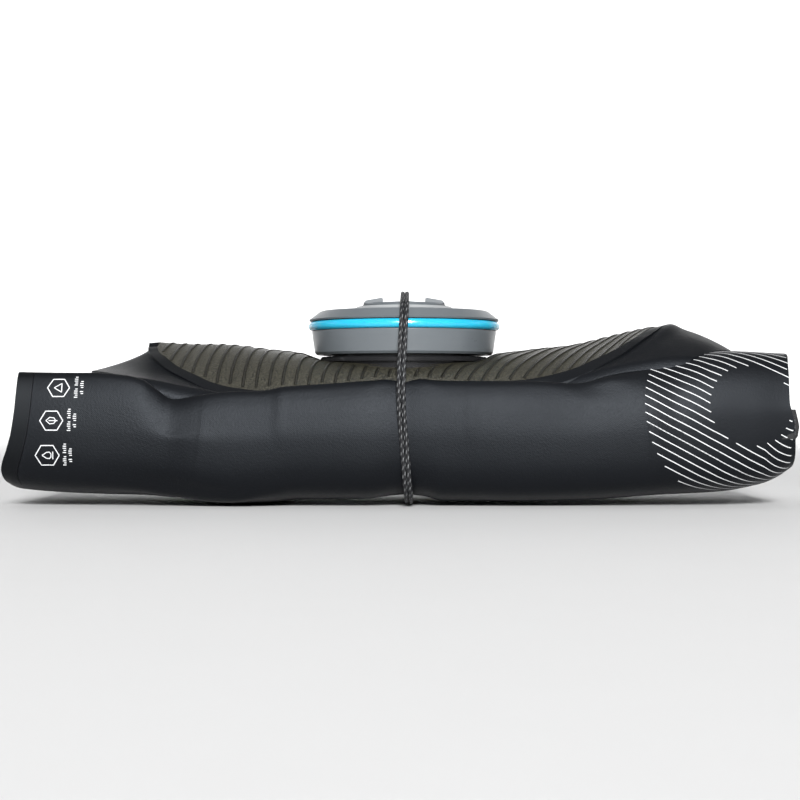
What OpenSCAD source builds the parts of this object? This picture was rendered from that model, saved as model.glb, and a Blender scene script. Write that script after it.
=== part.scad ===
// Collapsible water bag with a wide-mouth lid, rolled up and held by a doubled elastic cord.
// Millimetres. X runs along the roll, -Y is the printed front, +Z is up, z = 0 is the table.

/* [Bag] */
// Length of the rolled bag, which is the width of the flat bag
roll_len = 296; // [280:1:310]
// Thickness drawn for one coated fabric panel
sheet_t = 1; // [0.8:0.1:1.1]
// Spacing from one turn of the roll to the next
turn_pitch = 7.5; // [7:0.1:7.8]
// Width of the side and bottom welds
weld_w = 7; // [5:0.5:9]
// Half length of the rounded mouth panel along X
panel_half_x = 100; // [90:1:106]
// Half depth of the rounded mouth panel along Y
panel_half_y = 40; // [39:0.5:41]
// Width of the welded border around the mouth panel
border_w = 3.6; // [2.5:0.1:4]

/* [Mouth and lid] */
// Distance of the lid's axis from the middle of the roll
lid_x = 1.6; // [0:0.1:4]
// Inner radius of the filling mouth
mouth_r = 26.5; // [25:0.1:27]
// Outer radius of the lid skirt at its top
skirt_r = 36.2; // [36:0.1:36.6]
// Rise of the lid in one full turn
thread_pitch = 6; // [5:0.5:7]
// Length of each thread ridge, in turns
thread_turns = 1.2; // [0.8:0.1:1.4]
// Outer radius of the small port's plug
plug_r = 16.4; // [15:0.1:17]
// Radius of the bright disc on the plug
disc_r = 7.5; // [6:0.1:7.8]

/* [Elastic cord] */
// Diameter of the elastic cord
cord_d = 1.8; // [1.6:0.1:1.9]
// Distance between the two strands that lie side by side
cord_gap = 1.9; // [1.9:0.1:2.2]

/* [Hidden] */
round_fn = 96;

// Section of the roll at each station: [x, bottom z, top z, half depth in Y], for a length of 296
drawn_len = 296;
drawn_stations = [
    [-149, 5, 51, 42], [-142, 4.4, 51.5, 42.5], [-110, 2.5, 52, 43.5], [-78, 0, 52, 44],
    [-36, 0, 52, 44], [-12, 1.2, 52, 43.6], [-5, 3.2, 52, 42.9], [9, 3.2, 52, 42.9],
    [16, 1.2, 52, 43.6], [40, 0, 52, 44], [80, 0, 52.5, 44], [110, 2, 55, 43.5],
    [140, 5.2, 58, 42.5], [147, 6, 58.5, 42]];
stations = [for (s = drawn_stations) [s[0] * roll_len / drawn_len, s[1], s[2], s[3]]];
left_end = stations[0][0];
right_end = stations[len(stations) - 1][0];
left_shoulder_end = stations[2][0];
right_shoulder_end = stations[len(stations) - 3][0];
// Half height of the roll at which its turns are spaced exactly by the turn pitch
full_half_z = 26;
sheet_gap = 0.3;

// Angles round the roll, from its top over the front
roll_angle_end = 360 * 3 + 160;
angle_steps = 104;
front_start = 55;
wing_start = -25;
back_start = -52;
// Angle at which each turn starts, and the stretch over the back in which it steps inwards
turn_start = 70;
step_start = 170;
step_sweep = 90;
// Squareness of the section, from 1 for an ellipse down to 0 for a rectangle
square = 0.66;

// Heights of the mouth and lid
panel_z = 54.5;
neck_top = 71;
gasket_t = 1.3;
plate_z = 74.8;
ring_low = 67;
ring_high = 70.6;
skirt_low = 57.6;
neck_r = 28.8;
ridge_out = 30.4;
shell_in = 31.3;
ridge_in = 29.5;
flange_r = 33;
flange_low = 51.9;
flange_high = 56.8;
gland_r = 30.8;
thread_low = 60.4;
thread_h = 2.2;

function spow(v, e) = sign(v) * pow(abs(v), e);
function mix(a, b, t) = a + (b - a) * t;
function clamp01(t) = max(0, min(1, t));

// Value k of the roll's section at x, between its stations
function at(x, k) = lookup(x, [for (s = stations) [s[0], s[k]]]);

// How far the roll has wound inwards at angle a: each turn steps in as it climbs the back
function wound(a) =
    let (n = floor((a - turn_start) / 360))
    turn_pitch * (n + clamp01((a - turn_start - 360 * n - step_start) / step_sweep));

// Upright share of the section at angle a, cut flat where the roll lies on the table
function upright(a) = max(-1, min(1, 1.05 * spow(cos(a), square)));

// A point of the roll: a is the angle from the top, going over the front, depth is inward
function roll_point(x, a, depth) =
    let (shrink = wound(a) + depth)
    let (half_z = (at(x, 2) - at(x, 1)) / 2)
    let (mid_z = (at(x, 2) + at(x, 1)) / 2)
    [x, -(at(x, 3) - shrink) * spow(sin(a), square),
     mid_z + half_z * (1 - shrink / full_half_z) * upright(a)];

// Closed solid between two grids of points, rows along X and columns around the section
module sheet_solid(outer, inner) {
    rows = len(outer);
    cols = len(outer[0]);
    count = rows * cols;
    points = concat([for (r = outer) each r], [for (r = inner) each r]);
    over = [for (i = [0:rows - 2], j = [0:cols - 2])
        [i * cols + j, (i + 1) * cols + j, (i + 1) * cols + j + 1, i * cols + j + 1]];
    under = [for (f = over) [count + f[3], count + f[2], count + f[1], count + f[0]]];
    ends = [for (j = [0:cols - 2])
        each [[j, j + 1, count + j + 1, count + j],
              [(rows - 1) * cols + j + 1, (rows - 1) * cols + j,
               count + (rows - 1) * cols + j, count + (rows - 1) * cols + j + 1]]];
    sides = [for (i = [0:rows - 2])
        each [[(i + 1) * cols, i * cols, count + i * cols, count + (i + 1) * cols],
              [(i + 1) * cols - 1, (i + 2) * cols - 1,
               count + (i + 2) * cols - 1, count + (i + 1) * cols - 1]]];
    // Both faces of the cloth are cut along the same diagonals, so its thickness stays even
    tris = concat([for (f = concat(over, ends, sides)) each [[f[0], f[1], f[2]], [f[0], f[2], f[3]]]],
                  [for (f = under) each [[f[1], f[2], f[3]], [f[1], f[3], f[0]]]]);
    polyhedron(points, tris, convexity = 8);
}

// A sheet of the roll through the X places xs, from one angle to another
module rolled_sheet(xs, first, last, depth, thick, steps) {
    grid = [for (d = [depth, depth + thick])
        [for (x = xs) [for (j = [0:steps]) roll_point(x, mix(first, last, j / steps), d)]]];
    sheet_solid(grid[0], grid[1]);
}

panel_xs = concat([left_end + weld_w], [for (k = [2:len(stations) - 3]) stations[k][0]],
                  [right_end - weld_w]);

module front_panel() {
    color("#15171d") rolled_sheet(panel_xs, front_start, roll_angle_end, 0, sheet_t, angle_steps);
}

// Corner of the front panel beside the mouth panel, where it runs on over the top of the roll
module shoulder(xs) {
    color("#15171d") rolled_sheet(xs, wing_start, front_start - 0.2, 0, sheet_t, 8);
}

module left_shoulder() {
    shoulder([left_end + weld_w, left_shoulder_end]);
}

module right_shoulder() {
    shoulder([right_shoulder_end, right_end - weld_w]);
}

module back_panel() {
    color("#1b1d22")
        rolled_sheet(panel_xs, back_start, roll_angle_end, sheet_t + sheet_gap, sheet_t, angle_steps);
}

module side_weld(x0, x1) {
    color("#101216") rolled_sheet([x0, x1], wing_start, roll_angle_end, 0.2, 2 * sheet_t, angle_steps);
}

module left_side_weld() {
    side_weld(left_end, left_end + weld_w);
}

module right_side_weld() {
    side_weld(right_end - weld_w, right_end);
}

// The bottom edge of the bag, at the heart of the roll
module bottom_weld() {
    from = roll_angle_end + 0.5;
    color("#101216") rolled_sheet(panel_xs, from, from + 16, 0.2, 2 * sheet_t, 3);
}

// Outline of the mouth panel at angle f, grown outwards
function panel_edge(f, grow) = [
    lid_x + (panel_half_x + grow) * spow(cos(f), 0.82),
    (panel_half_y + grow) * spow(sin(f), 0.7)];

// Height of the mouth panel: flat round the mouth, high at its ends, falling to its long edges
function panel_height(x, y) =
    let (out = max(0, abs(x - lid_x) - 36) / 64)
    let (rise = (x < lid_x ? 6.5 : 11) * pow(out, 1.5))
    panel_z + rise - 8.5 * max(0, abs(y) - 34) / 6;

panel_hole_r = 31.2;
panel_rings = 5;
panel_steps = 48;

// A closed band of cloth round the mouth, from grid ring k0 to k1
module round_sheet(rings, thick) {
    count = len(rings) * panel_steps;
    points = concat([for (r = rings) each r], [for (r = rings) each [for (p = r) p - [0, 0, thick]]]);
    over = [for (i = [0:len(rings) - 2], j = [0:panel_steps - 1])
        let (n = (j + 1) % panel_steps)
        [i * panel_steps + j, i * panel_steps + n, (i + 1) * panel_steps + n, (i + 1) * panel_steps + j]];
    under = [for (f = over) [count + f[3], count + f[2], count + f[1], count + f[0]]];
    last = (len(rings) - 1) * panel_steps;
    rims = [for (j = [0:panel_steps - 1])
        let (n = (j + 1) % panel_steps)
        each [[n, j, count + j, count + n], [last + j, last + n, count + last + n, count + last + j]]];
    polyhedron(points, concat(over, under, rims), convexity = 4);
}

function panel_ring(xy) = [for (p = xy) [p[0], p[1], panel_height(p[0], p[1])]];
angles = [for (j = [0:panel_steps - 1]) j * 360 / panel_steps];

module mouth_panel() {
    rings = [for (k = [0:panel_rings])
        let (t = k / panel_rings)
        panel_ring([for (f = angles)
            mix([lid_x + panel_hole_r * cos(f), panel_hole_r * sin(f)], panel_edge(f, 0), t)])];
    color("#4a4634") round_sheet(rings, sheet_t);
}

module top_weld() {
    rings = [for (grow = [0.1, border_w]) panel_ring([for (f = angles) panel_edge(f, grow)])];
    color("#101216") round_sheet(rings, 1.4 * sheet_t);
}

// Helical ridge with a four-sided section, from radius r0 to r1
module thread_ridge(r0, r1, z0, turns, height) {
    steps = round(48 * turns);
    points = [for (i = [0:steps])
        let (f = i * 360 / 48)
        let (fade = 0.35 + 0.65 * clamp01(min(i, steps - i) / 5))
        let (z = z0 + thread_pitch * i / 48)
        let (h = height * fade)
        each [[r0 * cos(f), r0 * sin(f), z - h / 2], [r1 * cos(f), r1 * sin(f), z - h / 4],
              [r1 * cos(f), r1 * sin(f), z + h / 4], [r0 * cos(f), r0 * sin(f), z + h / 2]]];
    walls = [for (i = [0:steps - 1], k = [0:3])
        let (n = (k + 1) % 4)
        [i * 4 + k, i * 4 + n, (i + 1) * 4 + n, (i + 1) * 4 + k]];
    caps = [[3, 2, 1, 0], [steps * 4, steps * 4 + 1, steps * 4 + 2, steps * 4 + 3]];
    if (r1 > r0) polyhedron(points, concat(walls, caps));
    if (r1 < r0) polyhedron(points, [for (f = concat(walls, caps)) [f[3], f[2], f[1], f[0]]]);
}

// Moulded ring that clamps the mouth panel and carries the threaded neck
module mouth_ring() {
    color("#0c0c0e") translate([lid_x, 0, 0]) {
        rotate_extrude($fn = round_fn)
            polygon([[mouth_r, flange_low], [flange_r, flange_low], [flange_r, flange_low + 1.2],
                     [gland_r, flange_low + 1.2], [gland_r, panel_z + 0.4], [flange_r, panel_z + 0.4],
                     [flange_r, flange_high - 0.6], [flange_r - 0.6, flange_high], [neck_r, flange_high],
                     [neck_r, neck_top - 0.6], [neck_r - 0.6, neck_top], [mouth_r, neck_top]]);
        thread_ridge(neck_r + 0.02, ridge_out, thread_low, thread_turns, thread_h);
    }
}

module lid_gasket() {
    color("#26282b") translate([lid_x, 0, neck_top + 0.05])
        rotate_extrude($fn = round_fn)
            polygon([[mouth_r, 0.2], [mouth_r + 0.4, 0], [30, 0], [30.4, 0.4], [30.4, gasket_t],
                     [mouth_r, gasket_t]]);
}

// Skirt of the lid, with the groove for the coloured ring and the thread inside
module lid_shell() {
    color("#54595c") translate([lid_x, 0, 0]) {
        rotate_extrude($fn = round_fn)
            polygon([[shell_in, skirt_low + 0.8], [shell_in + 0.8, skirt_low], [34.2, skirt_low],
                     [35.1, skirt_low + 0.9], [skirt_r, ring_low - 0.6], [skirt_r, ring_low - 0.1],
                     [35.2, ring_low - 0.1], [35.2, ring_high + 0.1], [shell_in, ring_high + 0.1]]);
        thread_ridge(shell_in - 0.02, ridge_in, thread_low + thread_pitch / 2, thread_turns, thread_h);
    }
}

// Bevelled top of the lid with a raised boss round the small port
module lid_cover() {
    under = neck_top + gasket_t + 0.1;
    color("#5f6467") translate([lid_x, 0, 0])
        rotate_extrude($fn = round_fn)
            polygon([[13.6, under], [31.2, under], [31.2, ring_high + 0.2], [37, ring_high + 0.2],
                     [37.3, ring_high + 0.8], [33.2, plate_z - 0.3], [32.4, plate_z], [20.5, plate_z],
                     [18.6, 76.6], [17.4, 76.6], [17.4, 74.4], [13.6, 74.4]]);
}

// Coloured ring snapped into the waist of the lid
module grip_ring() {
    mid = (ring_low + ring_high) / 2;
    color("#1a9bc9") translate([lid_x, 0, 0])
        rotate_extrude($fn = round_fn)
            polygon(concat([[35.3, ring_low + 0.1], [36, ring_low]],
                [for (a = [-60:20:60]) [36 + 1.7 * cos(a), mid + (ring_high - mid) * sin(a)]],
                [[36, ring_high], [35.3, ring_high - 0.1]]));
}

// Seat of the small port, pressed into the lid
module port_seat() {
    color("#3b3f42") translate([lid_x, 0, 0])
        rotate_extrude($fn = round_fn)
            polygon([[12.9, 66.5], [13.5, 66.5], [13.5, 74.45], [17.3, 74.45], [17.3, 76.4], [12.9, 76.4]]);
}

// Turning plug with two grip lugs
module port_plug() {
    color("#5a5f62") translate([lid_x, 0, 0]) {
        rotate_extrude($fn = round_fn)
            polygon([[0, 67.2], [11.2, 67.2], [12.4, 67.8], [12.4, 68.6], [11.1, 68.6], [11.1, 70.2],
                     [12.4, 70.2], [12.4, 76.7], [plug_r, 76.7], [plug_r, 77.3], [plug_r - 0.7, 77.9],
                     [disc_r + 0.3, 77.9], [disc_r + 0.3, 76.9], [0, 76.9]]);
        for (side = [0, 180]) {
            rotate([90, 0, side]) translate([0, 0, -5.5]) linear_extrude(11)
                polygon([[8.3, 77.8], [15.9, 77.8], [15, 78.9], [14.2, 79.1], [9, 80], [8.3, 79.8]]);
        }
    }
}

module plug_disc() {
    color("#c9ccce") translate([lid_x, 0, 0])
        rotate_extrude($fn = round_fn)
            polygon([[0, 77], [disc_r, 77], [disc_r, 78.2], [disc_r - 0.4, 78.5], [disc_r / 2, 78.9],
                     [0, 79]]);
}

module plug_oring() {
    color("#17181a") translate([lid_x, 0, 69.4])
        rotate_extrude($fn = round_fn) translate([12, 0]) circle(r = 0.7, $fn = 24);
}

// Short folded webbing tab sewn to the right-hand weld
tab_x = right_end;
tab_back_y = -39.6;
tab_t = 2;
module lanyard_tab() {
    color("#16171a") translate([tab_x + 0.05, tab_back_y, 0]) rotate([90, 0, 0])
        linear_extrude(tab_t)
            polygon([[0, 24], [1, 24.6], [1.9, 29], [1.9, 33], [1, 36.4], [0, 37]]);
}

module tab_stitching() {
    color("#2c2e33")
        for (k = [0:3]) {
            translate([tab_x + 0.7, tab_back_y - tab_t - 0.16, 26.6 + 2.6 * k])
                cube([0.5, 0.3, 1.8], center = true);
        }
}

// Webbing tab that stands at the back of the top weld, and holds both ends of the cord
anchor_y = 41.7;
anchor_w = 6;
module cord_anchor() {
    color("#16171a") translate([-7.2, anchor_y + 0.9, 0]) rotate([90, 0, 0])
        difference() {
            linear_extrude(0.9)
                polygon([[0, 46.6], [anchor_w, 46.6], [anchor_w, 54], [anchor_w - 1.4, 55.4],
                         [1.4, 55.4], [0, 54]]);
            translate([anchor_w / 2, 52, -1]) cylinder(r = 1.3, h = 4, $fn = 32);
        }
}

module anchor_rivet() {
    color("#8d9296") translate([-7.2 + anchor_w / 2, anchor_y + 1.3, 52]) rotate([90, 0, 0])
        rotate_extrude($fn = 48)
            polygon([[0.9, 0], [2, 0], [2, 0.35], [1.25, 0.35], [1.25, 1.35], [2, 1.35], [2, 1.7],
                     [0.9, 1.7]]);
}

// Route of one turn of the cord, from the back of the lid over the front and under the roll
turn_route = [
    [1.9, 41.4, 60], [1.9, 39.4, 68], [1.9, 38.1, 72.2], [1.9, 33.6, 76.3], [1.9, 25, 79], [1.9, 16, 80.8],
    [1.9, 8, 81.4], [1.9, 0, 81.5], [1.9, -8, 81.4], [1.9, -16, 80.8], [1.8, -25, 79], [1.7, -33.6, 76.3],
    [1.5, -38.1, 72.2], [1.3, -39.4, 68], [0.9, -41.4, 60], [0.6, -43.4, 52], [0.4, -44.9, 44.5],
    [0.6, -44.9, 36], [1.3, -44.6, 27], [2, -44.1, 18], [2.6, -43, 10.5], [3.1, -39, 4.6], [3.3, -31, 2.2],
    [3.3, -20, 1.5], [3.2, -7, 1.4], [3.2, 7, 1.4], [3.1, 20, 1.5], [3, 31, 2.2], [2.9, 39, 4.6],
    [2.8, 43, 10.5], [2.6, 44.1, 18], [2.4, 44.6, 27], [2.2, 44.9, 36], [2, 44.9, 44.5], [1.9, 43.4, 52]];
function strand(shift) = [for (p = turn_route) p + [shift, 0, 0]];
cord_start = [[-2.6, 44.2, 52], [-0.6, 44, 55.5]];
cord_end = [[0.6, 45, 46.5], [-2.7, 44.9, 50]];
second = strand(cord_gap / 2);
cord_route = concat(cord_start, strand(-cord_gap / 2), [for (k = [0:32]) second[k]], cord_end);

// Round cord swept along a list of points, one eight-sided ring for each
module swept_cord(route, d) {
    n = len(route);
    sides = 8;
    points = [for (i = [0:n - 1])
        let (t = route[min(i + 1, n - 1)] - route[max(i - 1, 0)])
        let (u = cross(t, [1, 0, 0]))
        let (un = u / norm(u))
        let (w = cross(un, t))
        let (wn = w / norm(w))
        for (k = [0:sides - 1]) route[i] + d / 2 * (cos(k * 45) * un + sin(k * 45) * wn)];
    walls = [for (i = [0:n - 2], k = [0:sides - 1])
        let (m = (k + 1) % sides)
        [i * sides + k, i * sides + m, (i + 1) * sides + m, (i + 1) * sides + k]];
    caps = [[for (k = [sides - 1:-1:0]) k], [for (k = [0:sides - 1]) (n - 1) * sides + k]];
    polyhedron(points, concat(walls, caps), convexity = 6);
}

module bungee_cord() {
    color("#1c1d20") swept_cord(cord_route, cord_d);
}

// The two end knots, tied off against the eyelet
module cord_knots() {
    color("#1c1d20")
        for (z = [50.1, 52.4]) {
            translate([-4.1, 44.5, z]) rotate([0, 90, 0])
                rotate_extrude($fn = 32)
                    polygon([[0, -1.3], [0.8, -1.3], [1.1, -0.6], [1.1, 0.6], [0.8, 1.3], [0, 1.3]]);
        }
}

front_panel();
left_shoulder();
right_shoulder();
back_panel();
mouth_panel();
top_weld();
left_side_weld();
right_side_weld();
bottom_weld();
mouth_ring();
lid_gasket();
lid_shell();
lid_cover();
grip_ring();
port_seat();
port_plug();
plug_disc();
plug_oring();
lanyard_tab();
tab_stitching();
cord_anchor();
anchor_rivet();
bungee_cord();
cord_knots();
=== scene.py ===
import math

import bmesh
import bpy
import numpy as np
from bpy.props import FloatProperty, FloatVectorProperty, IntProperty, PointerProperty
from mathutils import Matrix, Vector


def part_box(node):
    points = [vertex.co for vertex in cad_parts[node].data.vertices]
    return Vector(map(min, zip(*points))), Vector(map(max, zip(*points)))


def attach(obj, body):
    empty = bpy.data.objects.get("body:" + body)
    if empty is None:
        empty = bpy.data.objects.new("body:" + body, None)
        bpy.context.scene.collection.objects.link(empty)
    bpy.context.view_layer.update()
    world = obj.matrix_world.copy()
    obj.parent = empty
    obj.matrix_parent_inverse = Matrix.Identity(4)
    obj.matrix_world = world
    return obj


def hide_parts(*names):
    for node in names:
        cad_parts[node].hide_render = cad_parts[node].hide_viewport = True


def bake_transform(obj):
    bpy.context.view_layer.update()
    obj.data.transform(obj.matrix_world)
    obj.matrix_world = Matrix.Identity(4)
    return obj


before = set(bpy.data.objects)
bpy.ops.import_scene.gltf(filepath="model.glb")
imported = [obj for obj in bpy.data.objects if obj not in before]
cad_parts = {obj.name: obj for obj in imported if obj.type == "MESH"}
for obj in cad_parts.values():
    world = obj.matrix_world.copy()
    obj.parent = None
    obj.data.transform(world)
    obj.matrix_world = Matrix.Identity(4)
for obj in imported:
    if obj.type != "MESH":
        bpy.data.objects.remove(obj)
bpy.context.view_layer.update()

bl_info = {
    "name": "Rolled Water Bag",
    "version": (1, 0, 0),
    "blender": (4, 5, 0),
    "location": "3D View > Sidebar > Water Bag",
    "description": "Builds a rolled water bag with its screw lid, elastic cord and studio",
    "category": "Add Mesh",
}

MM = 0.001
LID_AXIS = (sum(v[0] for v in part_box("grip_ring")) / 2, 0.0)


# ---------------------------------------------------------------- settings

def length(name, text, value):
    return FloatProperty(name=name, description=text, default=value, unit="LENGTH", precision=5)


def colour(name, text, value):
    return FloatVectorProperty(name=name, description=text, default=value, subtype="COLOR", min=0, max=1)


class BagSettings(bpy.types.PropertyGroup):
    cloth: length("Cloth thickness", "Thickness of one coated panel", 0.0006)
    wind: length("Turn spacing", "Distance between two turns of the roll", 0.0072)
    weld: length("Side weld", "Width of the welded side border", 0.0062)
    panel_a: length("Panel half length", "Half length of the ribbed mouth panel", 0.098)
    panel_b: length("Panel half depth", "Half depth of the ribbed mouth panel", 0.039)
    border: length("Border", "Width of the weld round the mouth panel", 0.0036)
    rib_pitch: length("Rib pitch", "Distance between two ribs of the mouth panel", 0.0049)
    rib_width: length("Rib width", "Width of one rib", 0.0012)
    rib_height: length("Rib height", "How far a rib stands up", 0.0005)
    cloth_tint: colour("Cloth", "Colour of the coated panels", (0.0019, 0.0022, 0.0031))
    olive_tint: colour("Mouth panel", "Colour of the ribbed panel", (0.024, 0.0225, 0.0155))
    ink_tint: colour("Ink", "Colour of the printed marks", (0.62, 0.63, 0.64))


class LidSettings(bpy.types.PropertyGroup):
    grey_tint: colour("Lid", "Colour of the lid", (0.104, 0.117, 0.127))
    ring_tint: colour("Ring", "Colour of the ring in the lid's waist", (0.022, 0.42, 0.62))
    # The disc's light grey is a painted reflection of the pale surround, seen at a grazing angle.
    disc_tint_painted_reflection: colour("Disc", "Colour of the bright disc", (0.5, 0.52, 0.53))


class CordSettings(bpy.types.PropertyGroup):
    diameter: length("Diameter", "Diameter of the elastic cord", 0.00166)
    sides: IntProperty(name="Sides", description="Sides of the cord's tube", default=14, min=8, max=24)
    sleeve_tint: colour("Sleeve", "Colour of the braided sleeve", (0.009, 0.0095, 0.011))
    fleck_tint: colour("Fleck", "Colour of the light threads", (0.20, 0.205, 0.21))


class StageSettings(bpy.types.PropertyGroup):
    distance: length("Camera distance", "From the camera to the middle of the bag", 0.662)
    height: length("Camera height", "Height of the camera over the floor", 0.040)
    seen_width: length("Seen width", "Width seen at the middle of the bag", 0.3152)
    floor_tint: colour("Floor", "Colour of the floor and the backdrop", (0.64, 0.64, 0.64))


# ---------------------------------------------------------------- small tools

def smooth(pairs, x):
    """Smooth curve through (place, value) pairs that never overshoots them."""
    xs, ys = np.array(pairs, float).T
    step, slope = np.diff(xs), np.diff(ys) / np.diff(xs)
    tangent = np.zeros(len(xs))
    both = slope[:-1] * slope[1:]
    tangent[1:-1] = np.where(both > 0, 2 * both / (slope[:-1] + slope[1:] + 1e-12), 0)
    i = np.clip(np.searchsorted(xs, x) - 1, 0, len(xs) - 2)
    t = np.clip((x - xs[i]) / step[i], 0, 1)
    a, b = ys[i], ys[i + 1]
    ta, tb = tangent[i] * step[i], tangent[i + 1] * step[i]
    return a + ta * t + (3 * (b - a) - 2 * ta - tb) * t**2 + (2 * (a - b) + ta + tb) * t**3


def ease(a, b, x):
    """0 before a, 1 after b, smooth between. a may be the larger one."""
    t = np.clip((x - a) / (b - a), 0, 1)
    return t * t * (3 - 2 * t)


def bump(x, width):
    """1 at 0, fading out over the width on both sides."""
    return np.exp(-((x / width) ** 2))


def link(name, points, faces, material, uv=None, flat=False):
    """A mesh object from points in metres, with its material and an optional UV for each point."""
    mesh = bpy.data.meshes.new(name)
    mesh.from_pydata([tuple(p) for p in points], [], faces)
    mesh.polygons.foreach_set("use_smooth", [not flat] * len(mesh.polygons))
    if uv is not None:
        layer = mesh.uv_layers.new(name="flat")
        loops = np.empty(len(mesh.loops), int)
        mesh.loops.foreach_get("vertex_index", loops)
        layer.data.foreach_set("uv", np.asarray(uv)[loops].ravel())
    mesh.materials.append(material)
    mesh.validate()
    mesh.update()
    obj = bpy.data.objects.new(name, mesh)
    bpy.context.scene.collection.objects.link(obj)
    return obj


def shell(name, top, under, material, closed=False, uv=None):
    """A closed sheet between two grids of points. The first grid is the outer side."""
    rows, cols = top.shape[:2]
    count = rows * cols
    index = np.arange(count).reshape(rows, cols)
    left, right = index, np.roll(index, -1, 1)
    if not closed:
        left, right = index[:, :-1], index[:, 1:]
    quads = np.stack([left[:-1], right[:-1], right[1:], left[1:]], -1).reshape(-1, 4)
    rim = [np.stack([right[0], left[0], left[0] + count, right[0] + count], -1),
           np.stack([left[-1], right[-1], right[-1] + count, left[-1] + count], -1)]
    if not closed:
        first, last = index[:, 0], index[:, -1]
        rim.append(np.stack([first[:-1], first[1:], first[1:] + count, first[:-1] + count], -1))
        rim.append(np.stack([last[1:], last[:-1], last[:-1] + count, last[1:] + count], -1))
    faces = np.concatenate([quads, quads[:, ::-1] + count] + rim).tolist()
    points = np.concatenate([top.reshape(-1, 3), under.reshape(-1, 3)])
    if uv is not None:
        uv = np.concatenate([uv.reshape(-1, 2)] * 2)
    obj = link(name, points, faces, material, uv)
    face_outwards(obj)
    obj.data.set_sharp_from_angle(angle=math.radians(50))
    return obj


def face_outwards(obj):
    """Turns every face of a closed mesh outwards."""
    work = bmesh.new()
    work.from_mesh(obj.data)
    bmesh.ops.recalc_face_normals(work, faces=work.faces)
    work.to_mesh(obj.data)
    work.free()


def tube(name, path, radius, sides, material, closed=False):
    """A round tube along a path in metres, with length and angle as its UV."""
    path = np.asarray(path, float)
    if closed:
        along = np.roll(path, -1, 0) - np.roll(path, 1, 0)
    else:
        along = np.gradient(path, axis=0)
    along /= np.linalg.norm(along, axis=1, keepdims=True)
    side = np.cross(along[0], (0.93, 0.21, 0.3))
    frames = []
    for t in along:
        side = side - t * side.dot(t)
        side /= np.linalg.norm(side)
        frames.append((side, np.cross(t, side)))
    turn = np.linspace(0, 2 * math.pi, sides, endpoint=False)
    radius = np.broadcast_to(radius, len(path))
    rings = np.array([p + r * (np.cos(turn)[:, None] * u + np.sin(turn)[:, None] * w)
                      for p, r, (u, w) in zip(path, radius, frames)])
    count = len(path)
    walls = [(i * sides + k, i * sides + (k + 1) % sides,
              (i + 1) % count * sides + (k + 1) % sides, (i + 1) % count * sides + k)
             for i in range(count if closed else count - 1) for k in range(sides)]
    if not closed:
        walls += [tuple(range(sides))[::-1], tuple((count - 1) * sides + k for k in range(sides))]
    run = np.concatenate([[0], np.cumsum(np.linalg.norm(np.diff(path, axis=0), axis=1))])
    obj = link(name, rings.reshape(-1, 3), walls, material)
    layer = obj.data.uv_layers.new(name="flat")
    for polygon in obj.data.polygons:
        ks = [v % sides for v in polygon.vertices]
        for loop, vertex, k in zip(polygon.loop_indices, polygon.vertices, ks):
            wrapped = sides if k == 0 and max(ks) == sides - 1 and len(ks) == 4 else k
            layer.data[loop].uv = (run[vertex // sides], wrapped / sides)
    face_outwards(obj)
    return obj


def curve_through(points, step):
    """Evenly spaced points, step apart, on a smooth curve through the given ones."""
    p = np.asarray(points, float)
    p = np.vstack([2 * p[0] - p[1], p, 2 * p[-1] - p[-2]])
    t = np.linspace(0, 1, 24, endpoint=False)[:, None]
    out = []
    for a, b, c, d in zip(p, p[1:], p[2:], p[3:]):
        out.append(0.5 * (2 * b + (c - a) * t + (2 * a - 5 * b + 4 * c - d) * t**2
                          + (3 * b - a - 3 * c + d) * t**3))
    fine = np.vstack(out + [p[-2]])
    run = np.concatenate([[0], np.cumsum(np.linalg.norm(np.diff(fine, axis=0), axis=1))])
    at = np.linspace(0, run[-1], int(run[-1] / step) + 1)
    return np.stack([np.interp(at, run, fine[:, k]) for k in range(3)], 1)


# ---------------------------------------------------------------- finishes

class Value:
    """A shader socket that takes part in Python sums."""

    def __init__(self, finish, socket):
        self.finish, self.socket = finish, socket

    def math(self, operation, *others):
        return self.finish.node("ShaderNodeMath", {"operation": operation}, [self, *others])

    def __add__(self, other):
        return self.math("ADD", other)

    def __radd__(self, other):
        return self.math("ADD", other)

    def __sub__(self, other):
        return self.math("SUBTRACT", other)

    def __rsub__(self, other):
        return self.finish.node("ShaderNodeMath", {"operation": "SUBTRACT"}, [other, self])

    def __mul__(self, other):
        return self.math("MULTIPLY", other)

    def __rmul__(self, other):
        return self.math("MULTIPLY", other)

    def __truediv__(self, other):
        return self.math("DIVIDE", other)

    def __rtruediv__(self, other):
        return self.finish.node("ShaderNodeMath", {"operation": "DIVIDE"}, [other, self])

    def sine(self):
        return self.math("SINE")

    def clamped(self):
        return self.finish.node("ShaderNodeClamp", {}, [self, 0.0, 1.0])


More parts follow.
